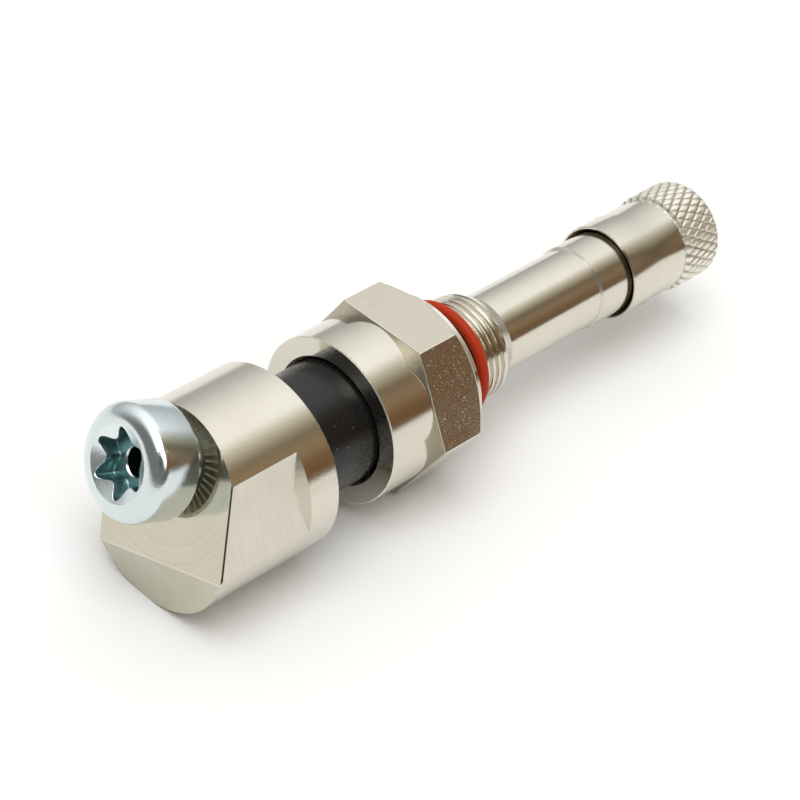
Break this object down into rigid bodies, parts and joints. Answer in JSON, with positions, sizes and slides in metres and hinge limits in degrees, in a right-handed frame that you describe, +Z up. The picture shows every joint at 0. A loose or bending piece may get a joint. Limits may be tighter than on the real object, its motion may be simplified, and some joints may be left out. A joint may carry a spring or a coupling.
{
  "type": "tyre valve",
  "caption": "Clamp-in metal tyre valve with a slanted foot and screw seat for a wheel sensor, rubber rim seal, collar nut, red ring, spring valve core and knurled screw cap.",
  "frame": {"origin": "on the stem's axis at the back face of the foot, which bears on the inside of the rim", "axes": "+X along the stem towards the cap, +Z up with the valve lying on a flat of its nut and on its foot"},
  "size_m": [0.0732, 0.0184, 0.0187],
  "materials": {
    "nickel_brass": "satin nickel plate on turned brass",
    "zinc_steel": "bright blue zinc plate",
    "bright_steel": "bright",
    "plain_brass": "turned",
    "black_rubber": "smooth moulded",
    "red_rubber": "smooth moulded",
    "seal_plastic": "smooth"
  },
  "bodies": {
    "valve": {"valve_body": "nickel_brass", "rim_seal": "black_rubber", "o_ring": "red_rubber", "core_plug": "plain_brass", "core_barrel": "plain_brass", "core_seal": "seal_plastic", "core_spring": "bright_steel"},
    "washer": {"thrust_washer": "bright_steel"},
    "nut": {"clamp_nut": "nickel_brass"},
    "cap_disc": {"cap_gasket": "black_rubber"},
    "cap": {"valve_cap": "nickel_brass"},
    "screw": {"sensor_screw": "zinc_steel"},
    "pin": {"core_pin": "plain_brass", "core_cup": "plain_brass", "cup_seal": "black_rubber"}
  },
  "joints": [
    {"name": "nut_travel", "type": "slide", "parent": "valve", "child": "washer", "axis": [1, 0, 0], "range_m": [0, 0.00187]},
    {"name": "nut_turn", "type": "hinge", "parent": "washer", "child": "nut", "pos_m": [0.0127, 0, 0], "axis": [1, 0, 0], "range_deg": [0, 900]},
    {"name": "cap_travel", "type": "slide", "parent": "valve", "child": "cap_disc", "axis": [1, 0, 0], "range_m": [0, 0.01032]},
    {"name": "cap_turn", "type": "hinge", "parent": "cap_disc", "child": "cap", "pos_m": [0.05, 0, 0], "axis": [1, 0, 0], "range_deg": [0, 4680]},
    {"name": "screw_travel", "type": "slide", "parent": "valve", "child": "screw", "axis": [-0.9426, 0.1142, 0.3137], "range_m": [-0.00075, 0.0075]},
    {"name": "pin_press", "type": "slide", "parent": "valve", "child": "pin", "axis": [-1, 0, 0], "range_m": [0, 0.0012], "stiffness_N_per_m": 2000, "springref_m": -0.0015, "deforming": ["core_spring"]}
  ],
  "couplings": [
    {"joint": "nut_turn", "follows": "nut_travel", "rad_per_m": 8377.6},
    {"joint": "cap_turn", "follows": "cap_travel", "rad_per_m": 7915.8}
  ]
}
